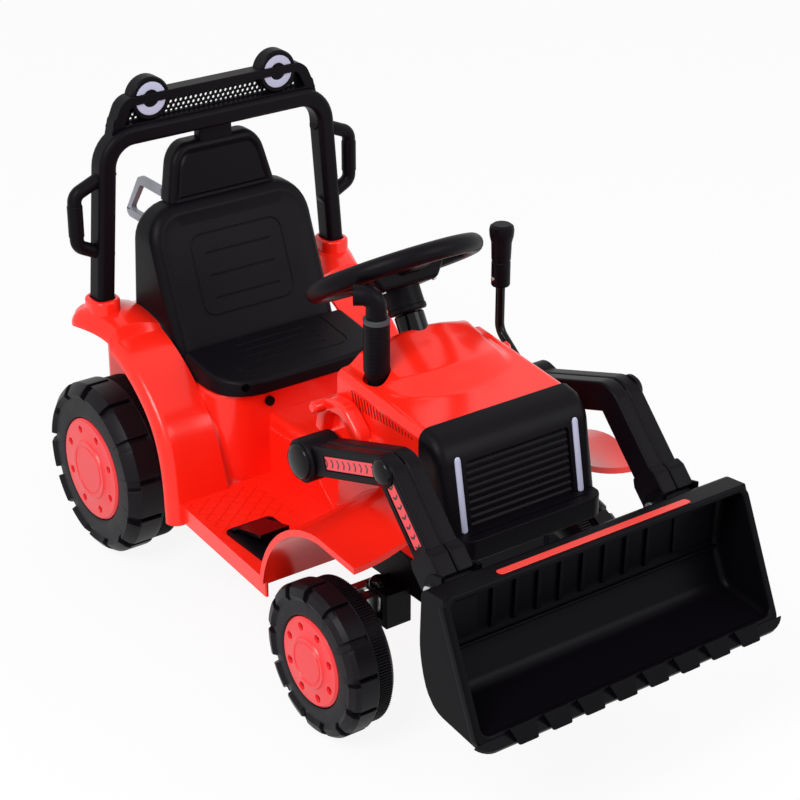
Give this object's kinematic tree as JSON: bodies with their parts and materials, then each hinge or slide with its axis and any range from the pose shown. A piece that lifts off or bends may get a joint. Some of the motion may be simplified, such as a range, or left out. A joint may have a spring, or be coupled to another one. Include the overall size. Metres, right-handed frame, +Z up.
{
  "type": "ride-on tractor toy",
  "caption": "Child's battery ride-on tractor with a front loader bucket, roll bar with lamps, steering linkage, foot pedal and a hand lever that lifts the loader.",
  "frame": {"origin": "on the ground under the middle of the whole tractor, bucket included", "axes": "+Z up, the tractor drives towards -Y, +X to the driver's left"},
  "size_m": [0.488, 1.092, 0.713],
  "materials": {
    "red_shell": "gloss blow-moulded",
    "red_hub": "satin gloss moulded",
    "red_trim": "printed foil",
    "black_shell": "satin moulded",
    "tyre_black": "hard moulded tread",
    "lens_white": "frosted",
    "grey_trim": "satin",
    "steel": "zinc plated",
    "drive_case": "moulded",
    "motor_can": "plated can"
  },
  "bodies": {
    "chassis": {"floor_pan": "red_shell", "seat_console": "red_shell", "rear_fender_left": "red_shell", "rear_fender_right": "red_shell", "hood": "red_shell", "front_fender_left": "red_shell", "front_fender_right": "red_shell", "loader_bracket_left": "red_shell", "loader_bracket_right": "red_shell", "grille_frame": "black_shell", "grille_mesh": "black_shell", "nose_bumper": "black_shell", "steering_boot": "black_shell", "exhaust_stack": "black_shell", "exhaust_elbow": "black_shell", "roll_bar": "black_shell", "light_bar_panel": "black_shell", "roof_lamp_housings": "black_shell", "grab_handles": "black_shell", "seat_pan": "black_shell", "seat_back": "black_shell", "headrest": "black_shell", "charge_socket": "black_shell", "front_axle_housing": "black_shell", "headlight_strips": "lens_white", "roof_lamp_lenses": "lens_white", "exhaust_collar": "grey_trim", "rear_carry_loop": "grey_trim", "rear_axle": "steel", "rear_axle_nuts": "steel", "kingpins": "steel", "gearboxes": "drive_case", "battery": "drive_case", "drive_motors": "motor_can"},
    "rear_wheel_left": {"rear_tyre_left": "tyre_black", "rear_hub_left": "red_hub"},
    "rear_wheel_right": {"rear_tyre_right": "tyre_black", "rear_hub_right": "red_hub"},
    "front_wheel_left": {"front_tyre_left": "tyre_black", "front_hub_left": "red_hub"},
    "front_wheel_right": {"front_tyre_right": "tyre_black", "front_hub_right": "red_hub"},
    "steering": {"steering_wheel": "black_shell", "steering_column": "steel"},
    "lower_shaft": {"steering_shaft": "steel"},
    "track_rod": {"tie_rod": "steel"},
    "steer_left": {"knuckle_left": "steel"},
    "steer_right": {"knuckle_right": "steel"},
    "loader": {"loader_arm_left": "black_shell", "loader_arm_right": "black_shell", "loader_lever": "steel", "lever_grip": "black_shell", "arm_caps": "black_shell", "arm_stripes": "red_trim"},
    "bucket": {"bucket_shell": "black_shell", "cutting_edge": "black_shell", "bucket_stripe": "red_trim", "bucket_bolts": "steel"},
    "pedal": {"accelerator_pedal": "black_shell"},
    "button": {"power_button": "black_shell"}
  },
  "joints": [
    {"name": "rear_wheel_left_spin", "type": "hinge", "parent": "chassis", "child": "rear_wheel_left", "pos_m": [0.187, 0.416, 0.13], "axis": [1, 0, 0], "continuous": true},
    {"name": "rear_wheel_right_spin", "type": "hinge", "parent": "chassis", "child": "rear_wheel_right", "pos_m": [-0.187, 0.416, 0.13], "axis": [1, 0, 0], "continuous": true},
    {"name": "steering_turn", "type": "hinge", "parent": "chassis", "child": "steering", "pos_m": [0, -0.147, 0.36197], "axis": [0, 0.5225, 0.8526], "range_deg": [-24, 24]},
    {"name": "lower_shaft_turn", "type": "hinge", "parent": "chassis", "child": "lower_shaft", "pos_m": [0, -0.147, 0.36197], "axis": [0, 0, 1], "range_deg": [-24, 24]},
    {"name": "steer_left_turn", "type": "hinge", "parent": "chassis", "child": "steer_left", "pos_m": [0.125, -0.172, 0.105], "axis": [0, 0, 1], "range_deg": [-12, 12]},
    {"name": "steer_right_turn", "type": "hinge", "parent": "chassis", "child": "steer_right", "pos_m": [-0.125, -0.172, 0.105], "axis": [0, 0, 1], "range_deg": [-12, 12]},
    {"name": "track_rod_swing", "type": "hinge", "parent": "steer_left", "child": "track_rod", "pos_m": [0.125, -0.122, 0.1536], "axis": [0, 0, 1], "range_deg": [-12, 12]},
    {"name": "front_wheel_left_spin", "type": "hinge", "parent": "steer_left", "child": "front_wheel_left", "pos_m": [0.2, -0.172, 0.105], "axis": [1, 0, 0], "continuous": true},
    {"name": "front_wheel_right_spin", "type": "hinge", "parent": "steer_right", "child": "front_wheel_right", "pos_m": [-0.2, -0.172, 0.105], "axis": [1, 0, 0], "continuous": true},
    {"name": "loader_lift", "type": "hinge", "parent": "chassis", "child": "loader", "pos_m": [0, -0.111, 0.361], "axis": [-1, 0, 0], "range_deg": [-20, 25]},
    {"name": "bucket_tilt", "type": "hinge", "parent": "loader", "child": "bucket", "pos_m": [0, -0.39, 0.308], "axis": [-1, 0, 0], "range_deg": [-15, 25]},
    {"name": "pedal_press", "type": "hinge", "parent": "chassis", "child": "pedal", "pos_m": [-0.168, 0.069, 0.1753], "axis": [1, 0, 0], "range_deg": [0, 12], "stiffness_Nm_per_rad": 1.5, "springref_deg": -6.88},
    {"name": "power_press", "type": "slide", "parent": "chassis", "child": "button", "axis": [0, 1, 0], "range_m": [0, 0.002], "stiffness_N_per_m": 400, "springref_m": -0.001}
  ],
  "couplings": [
    {"joint": "lower_shaft_turn", "follows": "steering_turn", "ratio": 1},
    {"joint": "steer_left_turn", "follows": "steering_turn", "ratio": 0.5},
    {"joint": "steer_right_turn", "follows": "steering_turn", "ratio": 0.5},
    {"joint": "track_rod_swing", "follows": "steering_turn", "ratio": -0.5}
  ]
}
